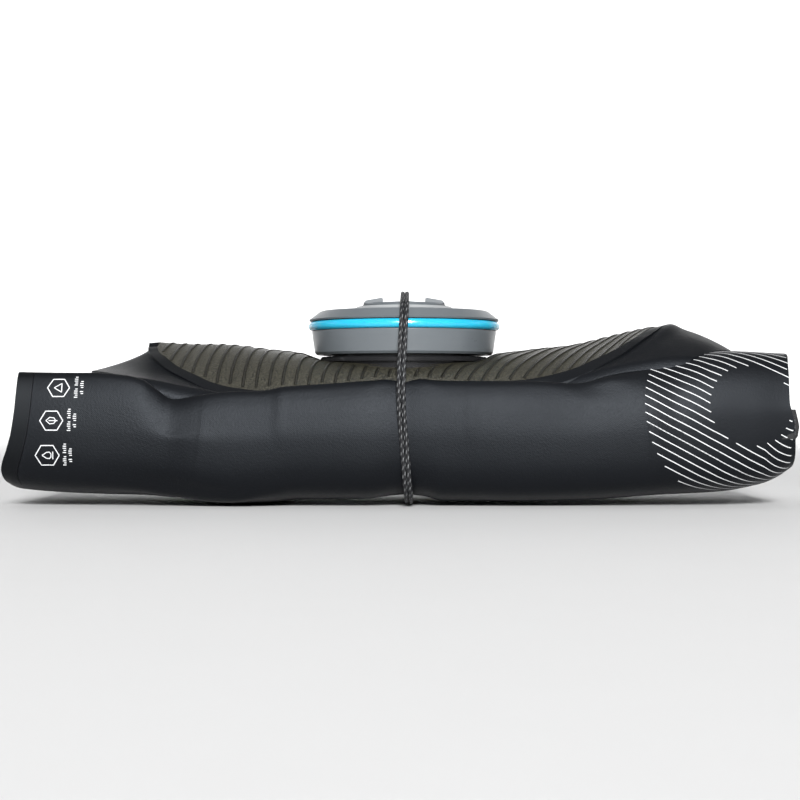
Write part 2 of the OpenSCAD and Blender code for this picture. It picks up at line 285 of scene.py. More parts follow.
class Finish:
    """One material: a node tree with a Principled shader, filled in by plain calls."""

    def __init__(self, name, **constants):
        self.material = bpy.data.materials.new(name)
        self.material.use_nodes = True
        self.tree = self.material.node_tree
        self.shader = next(n for n in self.tree.nodes if n.type == "BSDF_PRINCIPLED")
        for key, value in constants.items():
            self.shader.inputs[key.replace("_", " ")].default_value = value

    def node(self, kind, settings, inputs, output=0):
        """Adds a node. inputs is a list in socket order, or a dict by socket name or number.
        output is the name or number of the socket that is returned, or None for all of them."""
        made = self.tree.nodes.new(kind)
        for key, value in settings.items():
            setattr(made, key, value)
        named = inputs.items() if isinstance(inputs, dict) else enumerate(inputs)
        for key, value in named:
            socket = made.inputs[key]
            if isinstance(value, Value):
                self.tree.links.new(value.socket, socket)
            else:
                socket.default_value = value
        if output is None:
            return [Value(self, socket) for socket in made.outputs]
        return Value(self, made.outputs[output])

    def place(self):
        """Object coordinates, in metres."""
        return self.node("ShaderNodeTexCoord", {}, [], "Object")

    def flat(self):
        """The piece's own UV map, in metres on the flat cloth or along the cord."""
        return self.node("ShaderNodeUVMap", {"uv_map": "flat"}, [])

    def stretched(self, vector, scale, turn=(0, 0, 0)):
        return self.node("ShaderNodeMapping", {}, {"Vector": vector, "Scale": scale, "Rotation": turn})

    def noise(self, vector, scale, detail=2.0, rough=0.5):
        return self.node("ShaderNodeTexNoise", {},
                         {"Vector": vector, "Scale": scale, "Detail": detail, "Roughness": rough})

    def axes(self, vector):
        """The three parts of a vector."""
        return self.node("ShaderNodeSeparateXYZ", {}, [vector], output=None)

    def mix(self, factor, a, b):
        """Colour a where factor is 0, b where it is 1. Sockets 6 and 7 are the Mix node's colours."""
        return self.node("ShaderNodeMix", {"data_type": "RGBA"}, {0: factor, 6: a, 7: b}, output=2)

    def feed(self, name, value):
        """Links a value to one input of the Principled shader."""
        self.tree.links.new(value.socket, self.shader.inputs[name])

    def relief(self, height, distance, strength=1.0, under=None):
        """A bump of the given depth in metres, on top of another where there is one."""
        inputs = {"Height": height, "Distance": distance, "Strength": strength}
        if under is not None:
            inputs["Normal"] = under
        return self.node("ShaderNodeBump", {}, inputs)


def rgba(tint, gain=1.0):
    """A tint made darker or lighter, as a socket's colour."""
    return (*[min(1.0, c * gain) for c in tint], 1.0)


def coated_cloth(name, tint, roughness):
    """Matt film on woven cloth: faint weave, soft mottling and slow change of gloss."""
    f = Finish(name, Specular_IOR_Level=0.2, Specular_Tint=(0.84, 0.91, 1.0, 1.0))
    place = f.place()
    weave = f.flat()
    across, along, _ = f.axes(weave)
    threads = (across * 9000).sine() * (along * 9000).sine()
    grain = f.noise(place, 1300, 3, 0.65)
    cloud = f.noise(place, 28, 3, 0.55)
    f.feed("Base Color", f.mix((cloud * 0.5 + grain * 0.5).clamped(), rgba(tint, 0.6), rgba(tint, 1.4)))
    f.feed("Roughness", cloud * 0.10 + grain * 0.10 + (roughness - 0.10))
    body = f.relief(cloud, 0.0006, 0.25)
    f.feed("Normal", f.relief(grain * 0.9 + threads * 0.1, 0.00016, 0.7, body))
    return f.material


def olive_film(name, tint):
    """Grainy olive film with a low sheen."""
    f = Finish(name, Specular_IOR_Level=0.62, Metallic=0.12)
    place = f.place()
    grain = f.noise(place, 1500, 3, 0.7)
    cloud = f.noise(place, 45, 3, 0.5)
    speckle = ((grain - 0.5) * 3.2 + cloud * 0.3 + 0.35).clamped()
    f.feed("Base Color", f.mix(speckle, rgba(tint, 0.25), rgba(tint, 2.3)))
    f.feed("Roughness", grain * 0.22 + cloud * 0.08 + 0.26)
    f.feed("Normal", f.relief(grain, 0.0004, 0.85))
    return f.material


def welded_film(name, tint):
    """Cloth pressed flat by a hot bar: smoother than the panels, with a fine knurl."""
    f = Finish(name, Specular_IOR_Level=0.2, Specular_Tint=(0.86, 0.93, 1.0, 1.0))
    across, along, _ = f.axes(f.flat())
    knurl = (across * 5200).sine() * (along * 5200).sine()
    cloud = f.noise(f.place(), 60, 3)
    f.feed("Base Color", f.mix(cloud, rgba(tint, 0.7), rgba(tint, 1.1)))
    f.feed("Roughness", cloud * 0.12 + 0.40)
    f.feed("Normal", f.relief(knurl * 0.4 + cloud * 0.6, 0.00008, 0.35))
    return f.material


def moulded(name, tint, roughness, texture=0.25, **constants):
    """Moulded plastic with a spark-eroded texture and faint handling marks."""
    f = Finish(name, **constants)
    place = f.place()
    grain = f.noise(place, 2600, 2)
    marks = f.noise(f.stretched(place, (1, 1, 6)), 90, 4, 0.6)
    f.feed("Base Color", f.mix(marks, rgba(tint, 0.94), rgba(tint, 1.06)))
    f.feed("Roughness", grain * 0.06 + marks * 0.10 + (roughness - 0.08))
    f.feed("Normal", f.relief(grain, 0.00004, texture))
    return f.material


def braided(name, dark, light):
    """Braided sleeve: two crossing sets of strands with light threads among them."""
    f = Finish(name, Roughness=0.62, Specular_IOR_Level=0.3)
    run, around, _ = f.axes(f.flat())
    turns = around * (2 * math.pi)
    pitch = 2 * math.pi / 0.0042
    right = (run * pitch + turns * 4).sine()
    left = (run * pitch - turns * 4).sine()
    over = right * left
    rare = (run * pitch + turns * 4) * 0.5
    fleck = (rare.sine() * left * 2.2 - 0.75).clamped()
    dust = f.noise(f.place(), 1800, 2)
    f.feed("Base Color", f.mix((fleck * (dust * 1.5)).clamped(), rgba(dark), rgba(light)))
    f.feed("Normal", f.relief(over * 0.5 + dust * 0.4, 0.00018, 0.9))
    return f.material


def woven(name, tint):
    """Narrow webbing with a ribbed weave."""
    f = Finish(name, Roughness=0.68)
    x, y, z = f.axes(f.place())
    rows = ((x + y) * 5200).sine() * (z * 7400).sine()
    dust = f.noise(f.place(), 2200, 2)
    f.feed("Base Color", f.mix((rows * 0.4 + dust * 0.6).clamped(), rgba(tint, 0.6), rgba(tint, 1.9)))
    f.feed("Normal", f.relief(rows * 0.5 + dust * 0.5, 0.0001, 0.8))
    return f.material


def metal(name, tint, roughness):
    """Stamped metal with fine brushing."""
    f = Finish(name, Metallic=1.0)
    brush = f.noise(f.stretched(f.place(), (1, 1, 30)), 900, 3)
    f.feed("Base Color", f.mix(brush, rgba(tint, 0.85), rgba(tint, 1.1)))
    f.feed("Roughness", brush * 0.15 + roughness)
    return f.material


def printed_ink(name, tint):
    """Screen-printed ink, very slightly broken by the cloth under it."""
    f = Finish(name, Specular_IOR_Level=0.35)
    dust = f.noise(f.place(), 2400, 3)
    f.feed("Base Color", f.mix(dust, rgba(tint, 0.85), rgba(tint, 1.08)))
    f.feed("Roughness", dust * 0.15 + 0.45)
    return f.material


# ---------------------------------------------------------------- the bag's shape, in millimetres

# Height of the roll's upper front edge, of its underside, and of its hidden top, along X
FRONT_EDGE = [(-150, 50.6), (-143, 50.9), (-114, 50.9), (-103, 49.8), (-96, 48.2), (-90, 44.3), (-84.5, 41.2),
              (-75, 42.6), (-62, 43.8), (-52, 43.9), (-42, 45.3), (-25, 46.6), (-14, 47.6), (0, 48.1),
              (24, 47.3), (47, 47.6), (67, 47), (80, 50), (94, 54.3), (104, 56.5), (112, 58), (123, 58.9),
              (147, 58)]
UNDERSIDE = [(-149, 7.5), (-144, 6), (-131, 4.8), (-116, 4.2), (-97, 3.5), (-89, 2.7), (-81, 1.9), (-73, 0.8),
             (-62, 0.2), (-54, 0.6), (-46, 1.2), (-39, 2.0), (-12, 2.0), (-3, 3.4), (3, 3.6), (9, 3.2),
             (16, 1.4), (39, 1.2), (54, 1.6), (70, 2), (85, 2.7), (97, 3.5), (112, 4.3), (124, 5.2),
             (132, 6.6), (138, 8), (143, 10.2), (147, 13), (151, 16)]
HIDDEN_TOP = [(-150, 50.5), (-120, 50.6), (-100, 49), (-84, 47), (-60, 46.5), (0, 48.5), (60, 48.5),
              (95, 52), (110, 56), (123, 58.6), (147, 58)]
HALF_DEPTH = [(-150, 41.5), (-120, 43), (-80, 44), (-30, 44), (-6, 43.6), (2, 43.3), (10, 43.6), (40, 44),
              (100, 44), (130, 43), (147, 42)]
# Both ends of the roll along X, over one turn of the section from the upper front edge
LEFT_END = [(0, -141.8), (0.105, -142.1), (0.158, -142.5), (0.21, -143.8), (0.245, -145.7), (0.28, -147.8),
            (0.3, -148.3), (0.33, -147.9), (0.37, -146.4), (0.5, -146), (0.8, -144), (1, -142)]
RIGHT_END = [(0, 145.8), (0.08, 144.6), (0.17, 144), (0.25, 146.2), (0.32, 147), (0.5, 147.4), (0.8, 146.5),
             (1, 145.8)]
TURNS = 3.42  # how far both panels are wound
SECTION = 19  # control points in one turn
BACK_START, WELD_START = -0.178, -0.174  # where the back panel and the side welds begin
FULL_Y, FULL_Z = 44, 24.5  # half sizes that a turn's step inwards is measured against
LIFT_START, LIFT_SPAN = 0.55, 0.3  # where in each turn the cloth steps inwards


def roll_section(x):
    """Control points (y, z) of one turn of the roll at each x, from the upper front edge downwards."""
    top, low, hidden = smooth(FRONT_EDGE, x), smooth(UNDERSIDE, x), smooth(HIDDEN_TOP, x)
    half = smooth(HALF_DEPTH, x)
    mid = (hidden + low) / 2
    soft = ease(66, 104, x)
    rows = [(-0.77 + 0.13 * soft, top - 0.9 + 0.4 * soft), (-0.88 + 0.08 * soft, top - 0.7 - 2 * soft),
            (-0.94 + 0.03 * soft, top - 5 - 3.6 * soft), (-0.982 + 0.005 * soft, top - 12.5 - 4.5 * soft),
            (-1.0, mid),
            (-0.968, low + 11.5), (-0.86, low + 4), (-0.63, low + 0.8), (-0.28, low), (0.18, low),
            (0.6, low + 0.8), (0.86, low + 4), (0.97, low + 12), (1.0, mid + 1), (0.975, mid + 12),
            (0.87, hidden - 4.5), (0.6, hidden - 0.6), (0.1, hidden), (-0.38, hidden - 0.1)]
    return np.stack([np.stack([half * y, z + 0 * half], -1) for y, z in rows], -2)


def closed_spline(control, u):
    """Points at u on the closed curve through each row of control points."""
    place = (u % 1) * SECTION
    i = np.floor(place).astype(int)
    f = (place - i)[:, None]
    row = np.arange(len(u))
    a, b, c, d = (control[row, (i + k) % SECTION] for k in (-1, 0, 1, 2))
    return 0.5 * (2 * b + (c - a) * f + (2 * a - 5 * b + 4 * c - d) * f**2 + (3 * b - a - 3 * c + d) * f**3)


def wound(u):
    """Whole and part turns that the roll has stepped inwards at u."""
    turn = np.floor(u)
    return turn + np.clip((u - turn - LIFT_START) / LIFT_SPAN, 0, 1)


def folds(x, u):
    """Soft folds and creases of the outer turn, in millimetres outwards."""
    outer = 1 - ease(0.62, 0.9, u)
    # Puckers underneath, left of the cord
    low = 0.9 * bump(u - 0.335 - 0.0006 * (x + 86), 0.018) * bump(x + 84, 17)
    low += 1.1 * bump(u - 0.325 + 0.0009 * (x + 62), 0.02) * bump(x + 60, 13)
    low -= 0.7 * bump(u - 0.30 - 0.0005 * (x + 75), 0.02) * bump(x + 74, 22)
    # Where the front edge rises to both ends
    dip = -0.35 * bump(x + 82 + 90 * (u - 0.05), 9) * bump(u - 0.05, 0.06)
    dip += 0.3 * bump(x + 99 + 60 * (u - 0.05), 9) * bump(u - 0.06, 0.05)
    shoulder = 0.7 * bump(x - 78 - 120 * (u - 0.05), 9) * bump(u - 0.06, 0.05)
    shoulder -= 0.5 * bump(x - 66 - 120 * (u - 0.05), 8) * bump(u - 0.06, 0.05)
    # Two faint upright bands, then the folds and the groove that the cord pulls
    band = sum(0.16 * (ease(c - 2.1, c - 1.8, x) - 0.75 * ease(c + 1.6, c + 2.3, x)) * ease(0.03, 0.05, u)
               * (1 - ease(0.17, 0.23, u)) * bump(x - c, 7) for c in (-44.2, 26.5))
    pinch = sum(0.35 * bump(x - 1 - side * (5 + 90 * abs_u), 2.5 + 30 * abs_u) * bump(u - 0.02, 0.07)
                for side in (-1, 1) for abs_u in (np.abs(u - 0.02),))
    tuck = -0.2 * bump(x - 1.4, 3.2) * (1 - ease(0.45, 0.6, u))
    # Slow unevenness all over
    sway = 0.35 * np.sin(0.045 * x + 5 * u) * np.sin(9.0 * u + 0.02 * x) + 0.2 * np.sin(0.11 * x - 14 * u)
    back = 0.7 * np.sin(0.05 * x + 1.3) * np.sin(22 * u + 0.06 * x)
    back = back * ease(0.4, 0.55, u) * (1 - ease(0.95, 1.1, u))
    return (low + dip + shoulder + band + pinch + tuck) * outer + sway * 0.6 + back * 0.6


def roll_points(s, u, depth):
    """Points of the roll without folds: s runs along it from 0 to 1, u winds inwards."""
    shape = np.broadcast(s, u).shape
    s, u = (np.broadcast_to(v, shape).ravel() for v in (s, u))
    left = smooth(LEFT_END, u % 1) + 1.1 * np.maximum(0, u - 1)
    right = smooth(RIGHT_END, u % 1) - 0.9 * np.maximum(0, u - 1)
    x = left + s * (right - left)
    yz = closed_spline(roll_section(x), u)
    low, hidden = smooth(UNDERSIDE, x), smooth(HIDDEN_TOP, x)
    mid = (low + hidden) / 2
    # The starting edges lie down on the turn below them
    settle = 4.1 * ease(-0.05, -0.165, u)
    sway = 0.5 * ease(1, 1.4, u) * np.sin(7.3 * u + 0.03 * x)
    shrink = SIZES["wind"] * np.maximum(wound(u), 0) + depth + settle + sway
    y = yz[:, 0] * (1 - shrink / FULL_Y)
    z = mid + (yz[:, 1] - mid) * (1 - shrink / FULL_Z)
    # Between its ends the front panel's first edge is tucked under the mouth panel's border
    lip = (1 - ease(0, 0.035, u)) * (u > -0.02) * (1 - over_top(x))
    z = z - 4.2 * lip
    y = y + 1.5 * lip
    return np.stack([x, y, z], -1).reshape(*shape, 3)


def roll_surface(s, u, depth):
    """Points and outward normals of the folded roll at matching arrays s and u."""
    small = 1e-3
    p = roll_points(s, u, depth)
    ds = roll_points(s + small, u, depth) - roll_points(s - small, u, depth)
    du = roll_points(s, u + small, depth) - roll_points(s, u - small, depth)
    n = np.cross(du, ds)
    n /= np.maximum(np.linalg.norm(n, axis=-1, keepdims=True), 1e-9)
    return p + n * folds(p[..., 0], u)[..., None], n


# Sizes from the sidebar in millimetres, filled in by main
SIZES = {}


def over_top(x):
    """1 where the front panel runs on over the top of the roll, at both of its ends."""
    return ease(72, 90, -x) + ease(88, 106, x)


def start_of(s):
    """Where the front panel begins: behind the front edge, or far over the top at the roll's ends."""
    return -0.004 - 0.17 * over_top(-145 + 290 * s)


def winding_grid(s, first, last):
    """u for every row s: close together on the outer turn and further apart inside."""
    lead = np.linspace(0, 1, 24, endpoint=False)
    nominal = np.concatenate([np.arange(0.12, 0.5, 0.008), np.arange(0.5, 1.0, 0.014),
                              np.arange(1.0, last, 0.03), [last]])
    first = np.broadcast_to(first, s.shape)[:, None]
    start = first + (0.12 - first) * lead[None, :]
    return np.concatenate([start, np.tile(nominal, (len(s), 1))], 1)


def rolled_piece(name, s, first, last, depth, thick, material):
    """A sheet wound from u = first to u = last, lying depth millimetres under the roll's outer skin."""
    u = winding_grid(s, first, last)
    rows = np.tile(s[:, None], (1, u.shape[1]))
    outer, n = roll_surface(rows, u, depth)
    inner = outer - n * thick
    steps = np.linalg.norm(np.diff(outer, axis=1), axis=2)
    run = np.concatenate([np.zeros((len(s), 1)), np.cumsum(steps, 1)], 1)
    uv = np.stack([outer[..., 0], run], -1) * MM
    return shell(name, outer * MM, inner * MM, material, uv=uv)


# The mouth panel: its middle, the squareness of its outline, its hole's radius, and the heights of its
# crest and of its edge along X
PANEL_X = 2.8
ROUND = 2.3
PANEL_HOLE = 31.2
CREST = [(-122, 51.4), (-119, 51.9), (-110.7, 55.3), (-104, 58.6), (-98.9, 63), (-95, 63), (-90, 62.8),
         (-79, 62), (-63, 61.2), (-47, 59.4), (-39, 58.2), (-31, 55.6), (-26, 54.9), (28, 54.9), (33, 55.8),
         (38, 57.9), (51, 59.4), (63, 61), (75, 63.3), (87, 65.8), (95, 67.7), (102, 69.2), (107.6, 70),
         (114, 68.3), (120.6, 65.8), (126, 62), (129.5, 58.9)]
EDGE = [(-96, 62), (-93.8, 59), (-90.6, 56.2), (-85.6, 52.6), (-77.6, 48.8), (-70.7, 45.8), (-62.5, 43.9),
        (-52, 42.8), (-42, 43.6), (-25, 44.8), (0, 46.2), (24, 45.6), (46, 46.8), (56.5, 48.6), (67, 51.7),
        (73, 54.4), (82, 58.7), (91, 64), (100.6, 68.5)]


def panel_outline(f, grow=0.0):
    """Plan of the mouth panel's edge at angle f, grown outwards."""
    c, s = np.cos(f), np.sin(f)
    power = 2 / ROUND
    a, b = SIZES["panel_a"] + grow, SIZES["panel_b"] + grow
    return PANEL_X + a * np.sign(c) * np.abs(c) ** power, b * np.sign(s) * np.abs(s) ** power


def panel_height(x, y):
    """Height of the mouth panel: level round the mouth, tented towards its ends."""
    reach = np.clip(1 - np.abs((x - PANEL_X) / SIZES["panel_a"]) ** ROUND, 1e-4, 1) ** (1 / ROUND)
    q = np.clip(np.abs(y) / (SIZES["panel_b"] * reach), 0, 1)
    crest, edge = smooth(CREST, x), smooth(EDGE, x)
    power = 1.3 + 5.5 * bump(x - 1.6, 42)
    ripple = 0.35 * np.sin(0.16 * x + 0.1 * y) * ease(40, 60, np.abs(x)) * (1 - q)
    return crest - (crest - edge) * q**power + ripple


def panel_edge_height(f):
    x, y = panel_outline(f)
    return panel_height(x, y * 0.999)


# ---------------------------------------------------------------- operators

class PieceOperator:
    """What every operator of this add-on shares: it makes pieces and reports when done."""
    bl_options = {"REGISTER", "UNDO"}

    def execute(self, context):
        self.make(context.scene)
        return {"FINISHED"}


class BAG_OT_camera(PieceOperator, bpy.types.Operator):
    """Set up the camera level with the roll"""
    bl_idname = "bag.camera"
    bl_label = "Camera"

    def make(self, scene):
        stage = scene.bag_stage
        data = bpy.data.cameras.new("camera")
        data.sensor_width = 36
        data.lens = data.sensor_width * stage.distance / stage.seen_width
        data.clip_start, data.clip_end = 0.01, 20
        camera = bpy.data.objects.new("camera", data)
        camera.location = (0, -stage.distance, stage.height)
        camera.rotation_euler = (math.pi / 2, 0, 0)
        scene.collection.objects.link(camera)
        scene.camera = camera


# One turn of the cord, from the back of the lid over the front and under the roll
CORD_TURN = [
    (1.9, 41.4, 60), (1.9, 39.4, 68), (1.9, 38.1, 72.2), (1.9, 33.6, 76.3), (1.9, 25, 79), (1.9, 16, 80.8),
    (1.9, 8, 81.4), (1.9, 0, 81.5), (1.9, -8, 81.4), (1.9, -16, 80.8), (1.8, -25, 79), (1.7, -33.6, 76.3),
    (1.5, -38.1, 72.2), (1.3, -39.4, 68), (0.9, -41.4, 60), (0.6, -43.4, 52), (0.4, -44.9, 44.5),
    (0.6, -44.9, 36), (1.3, -44.6, 27), (2, -44.1, 18), (2.6, -43, 10.5), (3.1, -39, 4.6), (3.3, -31, 2.2),
    (3.3, -20, 1.5), (3.2, -7, 1.4), (3.2, 7, 1.4), (3.1, 20, 1.5), (3, 31, 2.2), (2.9, 39, 4.6),
    (2.8, 43, 10.5), (2.6, 44.1, 18), (2.4, 44.6, 27), (2.2, 44.9, 36), (2, 44.9, 44.5), (1.9, 43.4, 52)]
CORD_START = [(-2.6, 44.2, 52), (-0.6, 44, 55.5)]
CORD_END = [(0.6, 45, 46.5), (-2.7, 44.9, 50)]
CORD_SHIFT = 0.84


class BAG_OT_cord(PieceOperator, bpy.types.Operator):
    """Wind the elastic cord twice round the roll and the lid, and knot its ends"""
    bl_idname = "bag.cord"
    bl_label = "Elastic Cord"

    def make(self, scene):
        cord = scene.bag_cord
        sleeve = braided("cord_sleeve", cord.sleeve_tint, cord.fleck_tint)
        first = [(x - CORD_SHIFT, y, z) for x, y, z in CORD_TURN]
        second = [(x + CORD_SHIFT, y, z) for x, y, z in CORD_TURN[:33]]
        places = CORD_START + first + second + CORD_END
        route = curve_through([tuple(v * MM for v in p) for p in places], 0.0005)
        piece = tube("elastic_cord", route, cord.diameter / 2, cord.sides, sleeve)
        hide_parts("bungee_cord")
        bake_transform(piece)
        t = np.linspace(0, 2 * math.pi, 60, endpoint=False)
        knots = []
        for z in (50.1, 52.4):
            trefoil = np.stack([np.sin(t) + 2 * np.sin(2 * t), -np.sin(3 * t) * 0.9,
                                np.cos(t) - 2 * np.cos(2 * t)], 1)
            path = (trefoil * (0.45, 0.5, 0.36) + (-4.1, 44.5, z)) * MM
            knots.append(tube("cord_knot", path, 0.0006, 10, sleeve, closed=True))
        knot = join("cord_end_knots", knots)
        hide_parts("cord_knots")
        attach(knot, "bag")


def join(name, pieces):
    """One mesh object from several, which are removed."""
    work = bmesh.new()
    for piece in pieces:
        work.from_mesh(piece.data)
    first = pieces[0].data
    work.to_mesh(first)
    work.free()
    pieces[0].name = name
    for piece in pieces[1:]:
        bpy.data.objects.remove(piece)
    return pieces[0]


class BAG_OT_panels(PieceOperator, bpy.types.Operator):
    """Wind the front and back panels, with their side and bottom welds"""
    bl_idname = "bag.panels"
    bl_label = "Rolled Panels"

    def make(self, scene):
        bag = scene.bag_sizes
        cloth = coated_cloth("coated_cloth", bag.cloth_tint, 0.5)
        film = welded_film("welded_border", tuple(c * 0.6 for c in bag.cloth_tint))
        thick = bag.cloth / MM
        edge = bag.weld / MM / 290
        along = np.linspace(edge, 1 - edge, 210)
        front = rolled_piece("front_cloth", along, start_of(along), TURNS, 0.0, thick, cloth)
        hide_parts("front_panel")
        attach(front, "bag")
        along = np.linspace(edge, 1 - edge, 130)
        back = rolled_piece("back_cloth", along, BACK_START, TURNS, 1.1, thick, cloth)
        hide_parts("back_panel")
        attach(back, "bag")
        for name, node, low, high, finish in (
                ("left_weld_strip", "left_side_weld", 0, edge * 0.97, film),
                ("right_weld_strip", "right_side_weld", 1 - edge, 1, cloth)):
            strip = rolled_piece(name, np.linspace(low, high, 7), WELD_START, TURNS, 0.0, 1.5, finish)
            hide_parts(node)
            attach(strip, "bag")
        s = np.linspace(edge, 1 - edge, 100)
        u = np.tile(np.linspace(TURNS + 0.002, TURNS + 0.09, 10), (len(s), 1))
        outer, n = roll_surface(np.tile(s[:, None], (1, 10)), u, 0.2)
        uv = np.stack([outer[..., 0], u * 40], -1) * MM
        hem = shell("bottom_weld_strip", outer * MM, (outer - n * 1.3) * MM, film, uv=uv)
        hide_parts("bottom_weld")
        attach(hem, "bag")


class BAG_OT_mouth_panel(PieceOperator, bpy.types.Operator):
    """Lay the ribbed mouth panel with its welded border and the bag's two shoulders"""
    bl_idname = "bag.mouth_panel"
    bl_label = "Mouth Panel"

    def make(self, scene):
        bag = scene.bag_sizes
        olive = olive_film("olive_film", bag.olive_tint)
        cloth = coated_cloth("shoulder_cloth", bag.cloth_tint, 0.46)
        film = welded_film("mouth_border", bag.cloth_tint)
        self.panel(olive)
        # The ribs' film is the olive darkened to 0.42: painted shade standing in for the shadow along each
        # rib.
        self.ribs(bag, olive_film("rib_film_painted_shade", tuple(c * 0.42 for c in bag.olive_tint)))
        self.border(bag, film)
        self.shoulder(cloth, "left_shoulder_cloth", "left_shoulder", math.pi, 23, 0.68)
        self.shoulder(cloth, "right_shoulder_cloth", "right_shoulder", 0, 26, 1.9)

    def panel(self, olive):
        """The film from the mouth ring to the welded border."""
        f = np.linspace(0, 2 * math.pi, 300, endpoint=False)
        t = np.linspace(0, 1, 64)[:, None]
        edge_x, edge_y = panel_outline(f)
        x = (1 - t) * (LID_AXIS[0] / MM + PANEL_HOLE * np.cos(f)) + t * edge_x
        y = (1 - t) * PANEL_HOLE * np.sin(f) + t * edge_y * 0.9995
        top = np.stack([x, y, panel_height(x, y)], -1)
        under = top - [0, 0, SIZES["cloth"]]
        piece = shell("mouth_panel_film", top * MM, under * MM, olive, closed=True,
                      uv=np.stack([x, y], -1) * MM)
        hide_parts("mouth_panel")
        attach(piece, "bag")

    def ribs(self, bag, olive):
        """Slanting ribs swept along lines on the panel by geometry nodes, in a darker film that is painted
        shade along them.
        """
        points, edges = [], []
        for start in np.arange(-150, 124, bag.rib_pitch / MM):
            lean = 0.68 * ease(-75, 45, start)
            y = np.linspace(-40, 40, 81)
            deep = y + 39
            x = start - 2 + (lean - 0.1) * deep + (0.005 - 0.004 * lean) * np.minimum(deep, 42) * deep
            far_x, far_y = (x - PANEL_X) / (SIZES["panel_a"] - 1), y / (SIZES["panel_b"] - 1)
            reach = np.abs(far_x) ** ROUND + np.abs(far_y) ** ROUND
            ok = (reach < 1) & (np.hypot(x - LID_AXIS[0] / MM, y) > 33.6)
            z = panel_height(x, y) + 0.02
            for k in range(len(y)):
                if ok[k]:
                    points.append((x[k] * MM, y[k] * MM, z[k] * MM))
                    if k and ok[k - 1]:
                        edges.append((len(points) - 2, len(points) - 1))
        mesh = bpy.data.meshes.new("rib_lines")
        mesh.from_pydata(points, edges, [])
        lines = bpy.data.objects.new("panel_ribs", mesh)
        bpy.context.scene.collection.objects.link(lines)
        piece = swept_by_nodes(lines, olive, bag.rib_width, bag.rib_height)
        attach(piece, "bag")

    def border(self, bag, film):
        """The weld that joins the mouth panel to the bag, tucked in along its middle."""
        f = np.linspace(0, 2 * math.pi, 300, endpoint=False)
        grow = np.linspace(-0.6, SIZES["border"], 9)[:, None]
        x0, y0 = panel_outline(f)
        x, y = panel_outline(f, grow)
        side = np.cos(f)
        slope = 0.08 + 0.75 * np.sin(f) ** 2
        slope = np.where(side > 0.5, slope - 0.3 * ease(0.5, 1, side), slope)
        tuck = bump(x0 - 4, 52) * np.abs(np.sin(f)) ** 3
        y = y - np.sign(y) * 1.4 * np.maximum(grow, 0) * tuck
        slope = slope + 0.9 * tuck
        z = panel_edge_height(f) - slope * grow + 0.4 - 0.9 * tuck - 0.5 * np.cos(f) ** 8
        top = np.stack([x, y, z], -1)
        under = top - [0, 0, 1.3]
        uv = np.stack([np.broadcast_to(f * 70, x.shape), np.broadcast_to(grow, x.shape)], -1) * MM
        piece = shell("mouth_weld_border", top * MM, under * MM, film, closed=True, uv=uv)
        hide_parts("top_weld")
        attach(piece, "bag")

    def shoulder(self, cloth, name, node, facing, width, bend):
        """The bag's corner beside the mouth panel, sloping down onto the roll."""
        f = facing + np.linspace(-1.36, 1.36, 120)
        w = np.linspace(0, 1, 40)[:, None]
        turned = np.abs(np.cos(f))
        grow = SIZES["border"] - 1.2 + w * width * turned**1.4
        x, y = panel_outline(f, grow)
        inside, soft = 34.5, 3.4
        over = np.maximum(np.abs(y) - inside, 0)
        y = np.sign(y) * (np.minimum(np.abs(y), inside) + soft * (1 - np.exp(-over / soft)))
        high = panel_edge_height(f) - (0.08 + 0.75 * np.sin(f) ** 2) * 2.4 - 0.7
        high = high + (1.2 if facing == 0 else 0.4) * np.cos(f) ** 6
        roll = smooth(HIDDEN_TOP, x[-1]) + 0.8 - 4 * np.sin(f) ** 2 - 2.6 * ease(6, 30, y[-1])
        z = high - (high - roll) * w**bend
        if facing == 0:
            z = z + 1.3 * bump(w - 0.13, 0.13) * np.cos(f) ** 8
        z = z - 0.9 * np.sin(math.pi * w) * np.abs(np.sin(f)) - 0.6 * np.sin(math.pi * w) * bump(y + 14, 9)
        top = np.stack([x, y, z - 0.8 * over], -1)
        under = top - [0, 0, 1.2]
        uv = np.stack([x, y], -1) * MM
        piece = shell(name, top * MM, under * MM, cloth, uv=uv)
        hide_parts(node)
        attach(piece, "bag")


